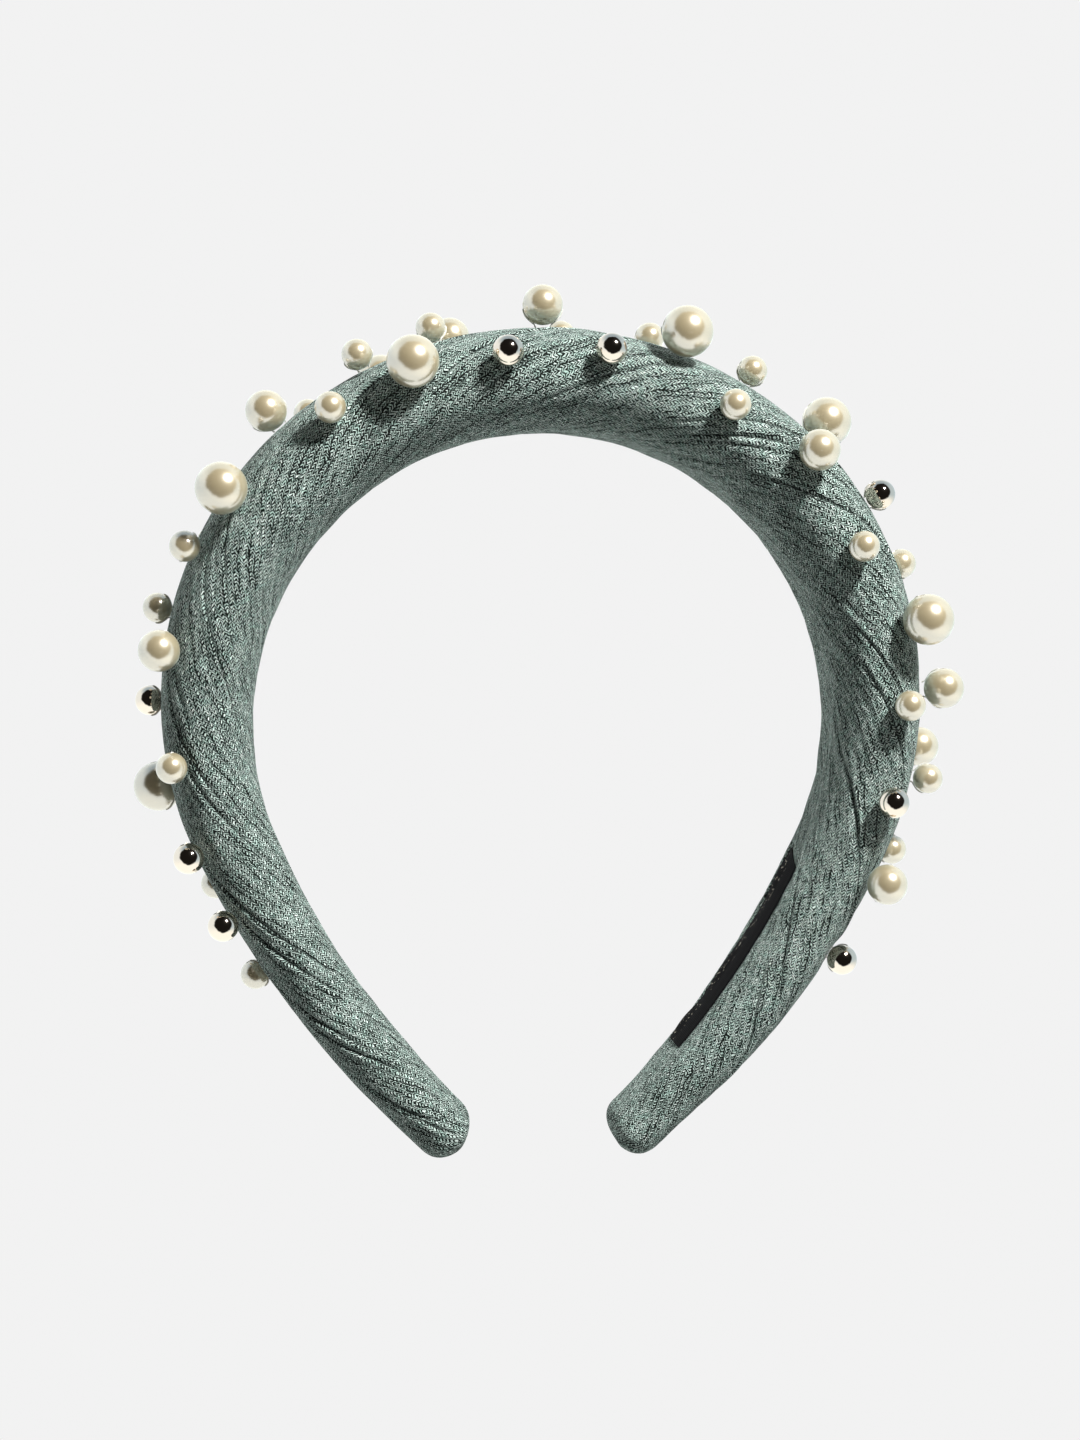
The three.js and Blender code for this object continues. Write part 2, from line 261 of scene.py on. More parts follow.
def knit_material():
    """Melange jersey: columns of V-shaped stitches in mixed pale and dark yarn, with dark gaps between,
    painted shade in the pleats' creases and painted light and shade along the fine folds.
    """
    material, g, shader = new_material("melange_knit")
    uv = g.node("ShaderNodeUVMap", uv_map="knit").outputs[0]
    split = g.node("ShaderNodeSeparateXYZ", {0: uv})
    # The crease map gives how deep in a pleat's crease each point is and how high the fine folds stand there;
    # the colour below paints shade from both.
    crease = g.node("ShaderNodeSeparateXYZ", {0: g.node("ShaderNodeUVMap", uv_map="crease").outputs[0]})
    fold_shade = crease.outputs[1]
    wander = g.noise(uv, 0.13, 3.0, 0.6)
    column = g.add(split.outputs[0], g.multiply(g.subtract(wander, 0.5), 3.0))
    within = g.subtract(g.math("FRACT", column), 0.5)
    off_centre = g.math("ABSOLUTE", within)
    unevenness = g.noise(uv, 0.8, 2.0, 0.6)
    slope = g.add(g.multiply(off_centre, 2.2), g.multiply(within, 0.8))
    stitch = g.add(g.add(split.outputs[1], slope), g.multiply(g.subtract(unevenness, 0.5), 1.5))
    phase = g.math("ABSOLUTE", g.subtract(g.math("FRACT", stitch), 0.5))
    drawn_out = g.node("ShaderNodeVectorMath", {0: uv, 1: (0.8, 0.06, 1.0)}, operation="MULTIPLY").outputs[0]
    flow = g.noise(drawn_out, 1.0, 2.0, 0.6)
    tension = g.noise(uv, 1.3, 2.0, 0.6)
    open_gap = g.add(g.smooth(flow, 0.35, 0.7, 0.06, 0.01), g.smooth(tension, 0.35, 0.65, 0.07, -0.05))
    leg = g.smooth(phase, g.subtract(0.23, open_gap), g.subtract(0.36, open_gap), 1.0, 0.0)
    edge = g.subtract(0.43, open_gap)
    gap = g.smooth(off_centre, g.subtract(edge, 0.06), g.add(edge, 0.05))
    gap = g.multiply(gap, g.smooth(flow, 0.42, 0.58, 0.85, 0.25))
    eye = g.multiply(g.smooth(off_centre, 0.03, 0.16, 1.0, 0.0), g.smooth(phase, 0.08, 0.22))
    yarn = g.multiply(g.multiply(leg, g.subtract(1.0, gap)), g.subtract(1.0, eye))

    half = g.math("GREATER_THAN", within, 0.0)
    cell = g.node("ShaderNodeCombineXYZ", {
        0: g.add(g.math("FLOOR", column), g.multiply(half, 0.37)),
        1: g.math("FLOOR", stitch),
    }).outputs[0]
    pick = g.node("ShaderNodeTexWhiteNoise", {"Vector": cell}, noise_dimensions="3D").outputs["Value"]
    spun = g.node("ShaderNodeVectorMath", {0: uv, 1: (2.4, 1.2, 1.0)}, operation="MULTIPLY").outputs[0]
    streak = g.smooth(g.noise(spun, 1.0, 2.0, 0.6), 0.3, 0.7)
    tone = g.add(g.multiply(pick, 0.45), g.multiply(streak, 0.40))
    # Painted light and shade: the yarn is a little paler on the fine folds' ridges and darker in their
    # hollows.
    tone = g.add(g.add(tone, g.multiply(flow, 0.10)), g.multiply(fold_shade, 0.04))
    ground = (0.008, 0.011, 0.0095, 1)
    dark_yarn = (0.12, 0.165, 0.145, 1)
    mid_yarn = (0.40, 0.50, 0.45, 1)
    pale_yarn = (0.78, 0.86, 0.81, 1)
    yarn_colour = g.mix(g.smooth(tone, 0.15, 0.42), dark_yarn, mid_yarn)
    yarn_colour = g.mix(g.smooth(tone, 0.5, 0.95), yarn_colour, pale_yarn)
    tint = g.smooth(g.noise(uv, 0.45, 2.0), 0.45, 0.7, 0.0, 0.5)
    yarn_colour = g.mix(tint, yarn_colour, g.mix(1.0, yarn_colour, (0.82, 1.03, 0.98, 1), "MULTIPLY"))
    colour = g.mix(g.smooth(yarn, 0.15, 0.55), ground, yarn_colour)
    # Painted shade: the knit goes dark deep in the pleats' creases, broken up a little by noise.
    crease_shade = g.add(crease.outputs[0], g.multiply(g.subtract(unevenness, 0.5), 0.5))
    colour = g.mix(g.smooth(crease_shade, 0.3, 0.75, 0.0, 0.7), colour, ground)
    fibres = g.noise(uv, 7.0, 2.0, 0.7)
    height = g.add(yarn, g.multiply(fibres, 0.25))
    normal = g.bump(height, 0.28 * MM, 1.0)
    settle(g, shader, Base_Color=colour, Roughness=0.9, Normal=normal, Sheen_Weight=0.04,
           Sheen_Roughness=0.4, Sheen_Tint=(0.86, 0.94, 0.90, 1), Specular_IOR_Level=0.04)
    return material


def ribbon_material():
    """Black grosgrain: fine cross ribs, corded edges and a line of glinting filaments."""
    material, g, shader = new_material("black_ribbon")
    uv = g.node("ShaderNodeUVMap", uv_map="weave").outputs[0]
    split = g.node("ShaderNodeSeparateXYZ", {0: uv})
    across, along = split.outputs[0], split.outputs[1]
    rib = g.math("SINE", g.multiply(along, 2 * math.pi))
    thread = g.math("SINE", g.multiply(across, 60 * math.pi))
    weave = g.multiply(g.add(g.multiply(rib, 0.5), 0.5), g.add(g.multiply(thread, 0.25), 0.75))
    fuzz = g.noise(uv, 3.0, 4.0, 0.7)
    cells = g.node("ShaderNodeVectorMath", {0: uv, 1: (30.0, 0.6, 1.0)}, operation="MULTIPLY").outputs[0]
    specks = g.node("ShaderNodeTexVoronoi", {"Vector": cells, "Scale": 1.0})
    chosen = g.node("ShaderNodeSeparateXYZ", {0: specks.outputs["Color"]}).outputs[0]
    stretch = g.node("ShaderNodeVectorMath", {0: uv, 1: (0.0, 0.06, 1.0)}, operation="MULTIPLY").outputs[0]
    chosen = g.math("GREATER_THAN", chosen, g.smooth(g.noise(stretch, 1.0, 1.0), 0.4, 0.6, 0.88, 0.62))
    dot = g.smooth(specks.outputs["Distance"], 0.14, 0.34, 1.0, 0.0)
    line = g.smooth(g.math("ABSOLUTE", g.subtract(across, 0.7)), 0.04, 0.22, 1.0, 0.0)
    glint = g.multiply(g.multiply(chosen, dot), line)
    colour = g.mix(weave, (0.003, 0.003, 0.003, 1), (0.012, 0.012, 0.013, 1))
    colour = g.mix(glint, colour, (0.9, 0.84, 0.68, 1))
    normal = g.bump(g.add(weave, g.multiply(fuzz, 0.3)), 0.05 * MM, 0.6)
    settle(g, shader, Base_Color=colour, Normal=normal, Specular_IOR_Level=0.02,
           Roughness=g.add(0.8, g.multiply(glint, -0.4)))
    return material


def pearl_material():
    """Ivory pearl coating: part soft mirror, part milky body, under a clear skin."""
    material, g, shader = new_material("ivory_pearl")
    place = g.node("ShaderNodeTexCoord").outputs["Object"]
    cloud = g.noise(place, 190.0, 3.0, 0.5)
    grain = g.noise(place, 1400.0, 2.0, 0.5)
    colour = g.mix(cloud, (0.52, 0.42, 0.245, 1), (0.50, 0.425, 0.265, 1))
    normal = g.bump(cloud, 0.03 * MM, 0.15)
    settle(g, shader, Base_Color=colour, Metallic=0.3, Normal=normal,
           Roughness=g.add(0.3, g.multiply(grain, 0.03)), Coat_Weight=1.0, Coat_Roughness=0.2,
           Coat_IOR=4.0, Sheen_Weight=0.2, Sheen_Roughness=0.35, Sheen_Tint=(0.74, 1.0, 0.90, 1))
    return material


def silver_material():
    """Polished plating with faint wear and fine scratches."""
    material, g, shader = new_material("polished_nickel")
    place = g.node("ShaderNodeTexCoord").outputs["Object"]
    scratch = g.noise(place, 900.0, 5.0, 0.7)
    cloud = g.noise(place, 160.0, 2.0)
    colour = g.mix(cloud, (0.74, 0.65, 0.56, 1), (0.79, 0.70, 0.60, 1))
    normal = g.bump(scratch, 0.008 * MM, 0.2)
    settle(g, shader, Base_Color=colour, Metallic=1.0, Normal=normal,
           Roughness=g.add(0.04, g.multiply(scratch, 0.06)))
    return material


def thread_material():
    """Pale sewing thread, with its twist."""
    material, g, shader = new_material("sewing_thread")
    place = g.node("ShaderNodeTexCoord").outputs["Object"]
    twist = g.node("ShaderNodeTexWave", {"Vector": place, "Scale": 2600.0, "Distortion": 1.0}).outputs["Fac"]
    colour = g.mix(twist, (0.42, 0.42, 0.38, 1), (0.74, 0.73, 0.66, 1))
    settle(g, shader, Base_Color=colour, Roughness=0.6, Normal=g.bump(twist, 0.05 * MM, 0.6))
    return material


def foam_material():
    """Open-cell foam with small dark pores."""
    material, g, shader = new_material("open_cell_foam")
    place = g.node("ShaderNodeTexCoord").outputs["Object"]
    cells = g.node("ShaderNodeTexVoronoi", {"Vector": place, "Scale": 1400.0}).outputs["Distance"]
    colour = g.mix(cells, (0.42, 0.38, 0.30, 1), (0.80, 0.77, 0.68, 1))
    settle(g, shader, Base_Color=colour, Roughness=0.95, Normal=g.bump(cells, 0.3 * MM, 0.8))
    return material


def hoop_material():
    """Black moulded plastic with a fine grain."""
    material, g, shader = new_material("moulded_plastic")
    place = g.node("ShaderNodeTexCoord").outputs["Object"]
    grain = g.noise(place, 1200.0, 3.0)
    colour = g.mix(grain, (0.018, 0.018, 0.019, 1), (0.034, 0.034, 0.036, 1))
    settle(g, shader, Base_Color=colour, Roughness=g.add(0.38, g.multiply(grain, 0.15)),
           Normal=g.bump(grain, 0.03 * MM, 0.4))
    return material


# ------------------------------------------------------------------ mesh helpers


def make_object(name, points, faces, material=None, uvs=None, sharp=None):
    """uvs holds a list of coordinates per face corner for each map's name; sharp marks edges to crease."""
    mesh = bpy.data.meshes.new(name)
    mesh.from_pydata([tuple(p) for p in points], [], [tuple(int(v) for v in f) for f in faces])
    mesh.polygons.foreach_set("use_smooth", np.ones(len(mesh.polygons), bool))
    for map_name, corners in (uvs or {}).items():
        layer = mesh.uv_layers.new(name=map_name)
        layer.data.foreach_set("uv", np.asarray(corners, np.float32).ravel())
    if sharp is not None:
        ends = np.empty(len(mesh.edges) * 2, np.int64)
        mesh.edges.foreach_get("vertices", ends)
        mesh.edges.foreach_set("use_edge_sharp", sharp(ends.reshape(-1, 2)))
    if material:
        mesh.materials.append(material)
    mesh.update()
    obj = bpy.data.objects.new(name, mesh)
    bpy.context.scene.collection.objects.link(obj)
    return obj


def ring_faces(rings, around, first=0, flip=False):
    """Quads between rings of vertices that close on themselves."""
    i, j = np.meshgrid(np.arange(rings - 1), np.arange(around), indexing="ij")
    a = first + i * around + j
    b = first + i * around + (j + 1) % around
    quads = np.stack([a, b, b + around, a + around], axis=-1).reshape(-1, 4)
    return quads[:, ::-1] if flip else quads


def tube_faces(rings, around):
    """Faces of a closed tube: the quads between its rings, then a cap at each end."""
    last = (rings - 1) * around
    return [*ring_faces(rings, around), np.arange(around)[::-1], last + np.arange(around)]


def swept_solid(name, rings, material, uvs=None):
    """A closed body from rings of points that follow each other along the band, with sharp ends."""
    count, around = rings.shape[:2]

    def at_ends(ends):
        row = ends // around
        return (row[:, 0] == row[:, 1]) & ((row[:, 0] == 0) | (row[:, 0] == count - 1))

    obj = make_object(name, rings.reshape(-1, 3), tube_faces(count, around), material, uvs, at_ends)
    face_outwards(obj)
    return obj


def face_outwards(obj):
    """Turns a closed body's faces outwards, by the sign of its volume."""
    mesh = obj.data
    mesh.calc_loop_triangles()
    points = np.array([v.co for v in mesh.vertices])
    triangles = np.array([t.vertices for t in mesh.loop_triangles])
    a, b, c = (points[triangles[:, k]] for k in range(3))
    if np.einsum("ij,ij->", a, np.cross(b, c)) < 0:
        mesh.flip_normals()


def blend_ends(side):
    """Start and end points of the stretch over which the band turns from the crown to a leg."""
    middle = ARCH_RADIUS + CROWN_THICKNESS / 2
    start = (side * middle * math.sin(BLEND_FROM), 0, ARCH_CENTRE_Z + middle * math.cos(BLEND_FROM))
    end = (side * middle * math.sin(BLEND_TO), 0, ARCH_CENTRE_Z + middle * math.cos(BLEND_TO))
    return Vector(start), Vector(end)


def side_name(side):
    return "right" if side > 0 else "left"


def leg_name(side):
    return f"{side_name(side)}_leg"


def bend_with_leg(obj):
    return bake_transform(obj)


def attach_bead(obj, centre):
    """A bead moves as the cover under it does: with the crown or with a leg; one in the stretch between them
    is left unattached, its transform baked into its mesh.
    """
    side = 1 if centre.x > 0 else -1
    start, end = blend_ends(side)
    direction = (end - start).normalized()
    share = (centre - start).dot(direction) / (end - start).length
    if share <= 0:
        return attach(obj, "crown")
    if share >= 1:
        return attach(obj, leg_name(side))
    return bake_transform(obj)


# ------------------------------------------------------------------ the cover's surface


def wrap_angle(place):
    return CROWN_WRAP + (TIP_WRAP - CROWN_WRAP) * smoothstep(np.abs(place), 20 * MM, HALF_LENGTH)


def running_total(function, place):
    """The integral of a function of the place, from the top of the band."""
    fine = np.linspace(-HALF_LENGTH, HALF_LENGTH, 1501)
    value = function(fine)
    total = np.concatenate([[0], np.cumsum((value[1:] + value[:-1]) / 2 * np.diff(fine))])
    return np.interp(place, fine, total) - np.interp(0, fine, total)


def girth(place):
    """About how far it is round the padded section at a place."""
    return GIRTH_SHARE * (thickness(place) + tapered(place, (CROWN_DEPTH, TIP_DEPTH)))


def wrap_turns(place):
    """How far round the band a stitch column has travelled at a place, in whole turns."""
    return running_total(lambda p: np.tan(wrap_angle(p)) / girth(p), place)


def outline_run(place):
    """Angles round the outline and the distance run along it at each."""
    turn = np.linspace(0, 2 * math.pi, 721)
    y, height = outline(np.full_like(turn, place), turn)
    run = np.concatenate([[0], np.cumsum(np.hypot(np.diff(y), np.diff(height)))])
    return turn, run


def half_places(step):
    """Places from the top to a tip, closer together where the tip rounds off."""
    straight = HALF_LENGTH - TIP_ROUNDING
    body = np.linspace(0, straight, int(round(straight / step)) + 1)
    tip = straight + TIP_ROUNDING * np.sin(np.linspace(0, math.pi / 2, 12)[1:])
    tip[-1] = HALF_LENGTH - 0.02 * MM
    return np.concatenate([body, tip])


def surface_normals(points):
    """Outward normals of a grid of points: rings along the first axis, closed round the second."""
    along = np.gradient(points, axis=0)
    around = np.roll(points, -1, axis=1) - np.roll(points, 1, axis=1)
    normal = np.cross(around, along)
    length = np.linalg.norm(normal, axis=-1, keepdims=True)
    return normal / np.maximum(length, 1e-12)


class CoverGrid:
    """Points of the whole cover, tip to tip. Its mesh columns wrap round the band as the stitches do."""

    def __init__(self, step, columns):
        half = half_places(step)
        self.places = np.concatenate([-half[:0:-1], half])
        self.shares = np.arange(columns) / columns
        self.middle = len(half) - 1
        turned = wrap_turns(self.places)
        turns, runs, girths = [], [], []
        for place, wrapped in zip(self.places, turned):
            turn, run = outline_run(place)
            share = np.mod(self.shares - wrapped, 1.0)
            turns.append(np.interp(share * run[-1], run, turn))
            crest = np.interp(math.pi / 2, turn, run) / run[-1]
            runs.append((np.mod(share - crest + 0.5, 1.0) - 0.5) * run[-1])
            girths.append(run[-1])
        self.turns = np.stack(turns)
        self.from_crest = np.stack(runs)         # distance round the band from its outer middle line
        self.girths = np.array(girths)
        self.place_grid = np.repeat(self.places[:, None], columns, axis=1)
        y, height = outline(self.place_grid, self.turns)
        self.base = on_band(self.place_grid, y, height)
        self.normals = surface_normals(self.base)


def column_share(place, turn):
    """The mesh column that passes a point of the section at a place."""
    angles, run = outline_run(place)
    return np.interp(turn, angles, run) / run[-1] + float(wrap_turns(place))


def pleats():
    """Every pleat: its column, middle place, half length and depth."""
    found = []
    for arch, lean, half, depth in PLEATS:
        place = math.radians(arch) * ARCH_RADIUS
        found.append((column_share(place, math.radians(90 + lean)), place, half * MM, depth * MM))
    random = np.random.default_rng(11)
    for _ in range(BACK_PLEATS):
        place = random.uniform(-0.16, 0.16)
        share = column_share(place, random.uniform(-0.3, 1.2))
        found.append((share, place, random.uniform(12, 24) * MM, random.uniform(0.25, 0.6) * MM))
    return found


def pleat_lift(grid):
    """Height of the pleats over the padded surface, and how deep in a crease each point is, 0 to 1, the depth
    that the knit's colour paints as shade.
    """
    lift = np.zeros(grid.base.shape[:2])
    crease = np.zeros_like(lift)
    for share, middle, half, depth in pleats():
        away = (grid.places - middle) / half
        near = np.abs(away) < 1
        bow = 0.35 * MM * np.sin(away[near, None] * 4 + share * 20)
        off = np.mod(grid.shares[None, :] - share + 0.5, 1.0) - 0.5
        across = off * grid.girths[near, None] + bow
        strength = (1 - away[near, None] ** 2) ** 1.2
        valley = np.exp(-((across / (0.34 * MM)) ** 2))
        upper = np.exp(-(((across + 1.0 * MM) / (0.7 * MM)) ** 2))
        lower = np.exp(-(((across - 1.5 * MM) / (1.1 * MM)) ** 2))
        lift[near] += depth * strength * (0.55 * upper + 0.3 * lower - 0.8 * valley)
        crease[near] = np.maximum(crease[near], strength * valley * min(1.0, depth / (0.5 * MM)))
    return lift, crease


def folds(grid):
    """Fine folds that run with the stitch columns and come and go along them, about -1 to 1; the knit's
    colour also takes painted light and shade from them.
    """
    turn = 2 * math.pi * grid.shares[None, :]
    place = grid.places[:, None]
    random = np.random.default_rng(5)
    total = 0
    for count, weight in ((14, 0.35), (23, 0.5), (31, 0.5), (44, 0.4)):
        start = random.uniform(0, 2 * math.pi, 4)
        bend = 1.6 * np.sin(place / (23 * MM) + start[0] + 2 * turn)
        bend = bend + 0.9 * np.sin(place / (9 * MM) + start[1])
        strength = 0.5 + 0.5 * np.sin(place / (17 * MM) + start[2] + 3 * turn)
        total = total + weight * strength * np.sin(count * turn + bend + start[3])
    return total


def beads():
    found = []
    for name in sorted(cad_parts):
        kind = name.rsplit("_", 1)[0]
        if kind in BEAD_DIAMETERS:
            low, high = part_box(name)
            found.append((name, kind, (low + high) / 2, BEAD_DIAMETERS[kind]))
    return found


SWELL_FRAMES = 20
SWELL_STEP = 2.0 * MM           # between the rings of the coarse mesh that is simulated
SWELL_CAP = 0.9 * MM
SWELL_PRESSURE = 30.0           # the fabric is light and the cushions between the stitches are small
TUCK = 0.45 * MM                # the padding starts this much smaller, and the beads hold it there
SEAM_HALF = 1.6 * MM            # half the width that the inner seam holds down
BEAD_HOLD = 0.55 * MM           # how far past a bead its stitch holds the cover
DIMPLE = 0.35 * MM              # how deep a bead sits in the padding


def stitched_down(grid):
    """True at the points that are held: under each bead, along the inner seam and at the tips."""
    held = np.abs(np.abs(grid.from_crest) - grid.girths[:, None] / 2) < SEAM_HALF
    held |= np.abs(grid.place_grid) > HALF_LENGTH - TIP_ROUNDING
    for _, _, centre, diameter in beads():
        near = np.linalg.norm(grid.base - np.array(centre), axis=-1)
        held |= near < diameter / 2 + BEAD_HOLD
    return held


def even_out(values):
    """Each value of a grid shared with its neighbours: rows follow each other, columns close round."""
    for _ in range(2):
        values = (np.roll(values, 1, axis=1) + 2 * values + np.roll(values, -1, axis=1)) / 4
        values[1:-1] = (values[:-2] + 2 * values[1:-1] + values[2:]) / 4
    return values


def swelling(grid):
    """Cloth simulation of the padding: the cover starts tucked in and swells between its stitches.

    Returns the height of each point of the grid over the padded outline.
    """
    start = grid.base - grid.normals * TUCK
    pad = make_object("swelling_pad", start.reshape(-1, 3), tube_faces(*start.shape[:2]))
    face_outwards(pad)
    held = np.flatnonzero(stitched_down(grid).ravel())
    pad.vertex_groups.new(name="held").add([int(v) for v in held], 1.0, "REPLACE")
    cloth = pad.modifiers.new("swell", "CLOTH")
    settings = cloth.settings
    settings.vertex_group_mass = "held"
    settings.use_pressure = True
    settings.uniform_pressure_force = SWELL_PRESSURE
    settings.effector_weights.gravity = 0
    settings.mass = 0.0005
    settings.air_damping = 0
    settings.tension_stiffness = 2
    settings.compression_stiffness = 2
    settings.shear_stiffness = 1
    settings.bending_stiffness = 0.02
    settings.tension_damping = 0
    settings.compression_damping = 0
    settings.shear_damping = 0
    cloth.point_cache.frame_start = 1
    cloth.point_cache.frame_end = SWELL_FRAMES
    scene = bpy.context.scene
    for number in range(1, SWELL_FRAMES + 1):
        scene.frame_set(number)
    swollen = pad.evaluated_get(bpy.context.evaluated_depsgraph_get()).data
    moved = np.empty(len(swollen.vertices) * 3)
    swollen.vertices.foreach_get("co", moved)
    moved = moved.reshape(start.shape)
    scene.frame_set(1)
    mesh = pad.data
    bpy.data.objects.remove(pad)
    bpy.data.meshes.remove(mesh)
    height = np.einsum("ijk,ijk->ij", moved - grid.base, grid.normals)
    height = even_out(np.clip(height, -TUCK, SWELL_CAP))
    least, mean, most = height.min() / MM, height.mean() / MM, height.max() / MM
    print("swelling: mean", mean, "mm, least", least, "mm, most", most, "mm")
    return height


def on_finer_grid(coarse, values, fine):
    """Values of a coarse grid, read at the points of a finer one."""
    along = np.stack([np.interp(fine.places, coarse.places, column) for column in values.T], axis=1)
    shares = np.append(coarse.shares, 1.0)
    closed = np.concatenate([along, along[:, :1]], axis=1)
    return np.stack([np.interp(fine.shares, shares, row) for row in closed])


def under_label(grid):
    """1 where the label is glued on and presses the cover flat, 0 away from it."""
    across = 0.5 * LABEL_WIDTH + 0.25 * MM - np.abs(grid.base[..., 1])
    start = LABEL_START - LABEL_SLANT * grid.base[..., 1]
    along = np.minimum(grid.place_grid - start, LABEL_END - grid.place_grid) + 0.3 * MM
    inner_side = np.sin(grid.turns) < 0
    edge = 0.5 * MM
    return smoothstep(np.minimum(across, along), -edge, edge) * inner_side


def extra_padding(place, turn):
    """How much fuller the lower legs are than the plain outline."""
    outer_side = smoothstep(np.sin(turn), -0.5, 0.5)
    total = 0
    for side, (start, end, inner, outer, at_tip) in EXTRA_PADDING.items():
        grown = smoothstep(side * place, start * MM, end * MM)
        outside = outer + (at_tip - outer) * smoothstep(side * place, *NEAR_TIP)
        total = total + grown * (inner + (outside - inner) * outer_side) * MM
    return total


def keep_a_wall(lift):
    """Eases off the deepest hollows, so that the cover keeps some thickness there."""
    eased, room = 0.5 * MM, 0.3 * MM
    return np.maximum(lift, -eased) + room * np.tanh(np.minimum(lift + eased, 0) / room)


def cover_surface(grid):
    """The finished outer points of the cover, and how creased and how folded it is at each, which the knit's
    colour uses for painted shade.
    """
    coarse = CoverGrid(SWELL_STEP, COLUMNS // 4)
    lift = on_finer_grid(coarse, swelling(coarse), grid)
    pleated, crease = pleat_lift(grid)
    fade = smoothstep(HALF_LENGTH - np.abs(grid.place_grid), 0, 5 * MM)
    extra = extra_padding(grid.place_grid, grid.turns)
    extra = extra * smoothstep(HALF_LENGTH - np.abs(grid.place_grid), -1 * MM, 3 * MM)
    for _, _, centre, diameter in beads():
        near = np.linalg.norm(grid.base - np.array(centre), axis=-1)
        dimple = np.exp(-((near / (0.66 * diameter)) ** 4))
        lift -= DIMPLE * dimple
        pleated *= 1 - 0.8 * dimple
        extra *= 1 - 0.9 * dimple
    folded = folds(grid)
    lift = (lift + pleated + FOLD_HEIGHT * folded) * fade
    pressed = under_label(grid)
    lift = lift * (1 - pressed) - LABEL_SINK * pressed
    loose = fade * (1 - pressed)
    lift = keep_a_wall(lift + extra)
    return grid.base + grid.normals * lift[..., None], np.stack([crease * loose, folded * loose], axis=-1)


def knit_coordinates(grid, rows, quads):
    """Stitch column and stitch number per corner of the quads, opened along the band's inner side."""
    place = grid.place_grid[rows].ravel()
    around = grid.from_crest[rows].ravel()
    girths = np.repeat(grid.girths[rows], len(grid.shares))
    wrap = wrap_angle(place)
    drift = running_total(lambda p: np.sin(wrap_angle(p)), place)
    advance = running_total(lambda p: np.cos(wrap_angle(p)), place)
    run = around[quads]
    whole = girths[quads]
    run = run - whole * np.round((run - run[:, :1]) / whole)
    column = (run * np.cos(wrap[quads]) + drift[quads]) / WALE
    stitch = (advance[quads] - run * np.sin(wrap[quads])) / STITCH
    return np.stack([column, stitch], axis=-1).reshape(-1, 2) + FIRST_STITCH


# ------------------------------------------------------------------ the band's pieces


def make_cover(side, grid, surface, crease, material):
    """One half of the cover: a closed wall with a fine outside and a plain inside, cut at the top."""
    tip = len(grid.places) - 1 if side > 0 else 0
    rows = np.arange(grid.middle, tip + side, side)
    outer = surface[rows]
    rings, around = outer.shape[:2]
    every_row, every_column = 6, 4
    inner_rows = [r for r in rows[::every_row] if abs(grid.places[r]) < HALF_LENGTH - 3 * COVER_WALL]
    y, height = outline(grid.place_grid[inner_rows], grid.turns[inner_rows], HALF_LENGTH - COVER_WALL)
    inner = on_band(grid.place_grid[inner_rows], y, height) - grid.normals[inner_rows] * COVER_WALL
    inner = inner[:, ::every_column]
    inner_around = inner.shape[1]
    points = np.concatenate([outer.reshape(-1, 3), inner.reshape(-1, 3)])

    flip = side < 0
    first = rings * around
    quads = ring_faces(rings, around, 0, not flip)
    faces = list(quads)
    rim = first - around + np.arange(around)
    faces.append(rim if flip else rim[::-1])
    faces += list(ring_faces(len(inner_rows), inner_around, first, flip))
    cap = first + (len(inner_rows) - 1) * inner_around + np.arange(inner_around)
    faces.append(cap[::-1] if flip else cap)
    for k in range(inner_around):
        here, following = first + k, first + (k + 1) % inner_around
        for step in range(every_column):
            a = k * every_column + step
            b = (a + 1) % around
            faces.append((b, a, here) if flip else (a, b, here))
        b = (k + 1) * every_column % around
        faces.append((b, here, following) if flip else (here, b, following))

    other_corners = sum(len(f) for f in faces[len(quads):])
    blank = np.zeros((other_corners, 2))
    # Crease depth and fold height at each corner, which the knit's colour turns into painted shade.
    relief = crease[rows].reshape(-1, 2)[quads].reshape(-1, 2)
    uvs = {
        "knit": np.concatenate([knit_coordinates(grid, rows, quads), blank]),
        "crease": np.concatenate([relief, blank]),
    }

    def at_the_cut(ends):
        outside = (ends < around).all(axis=1)
        inside = ((ends >= first) & (ends < first + inner_around)).all(axis=1)
        return outside | inside

    cover = make_object(f"knit_cover_{side_name(side)}", points, faces, material, uvs, at_the_cut)
    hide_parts("cover_crown", f"cover_{leg_name(side)}")
    bend_with_leg(cover)
    return cover


def inner_height(place, y):
    """Height of the padded outline's inner side at a distance y from the band's middle."""
    half = tapered(place, (CROWN_DEPTH, TIP_DEPTH)) / 2
    fall = (1 - np.abs(y / half) ** INNER_FULLNESS) ** (1 / INNER_FULLNESS)
    return thickness(place) / 2 * (1 - fall)


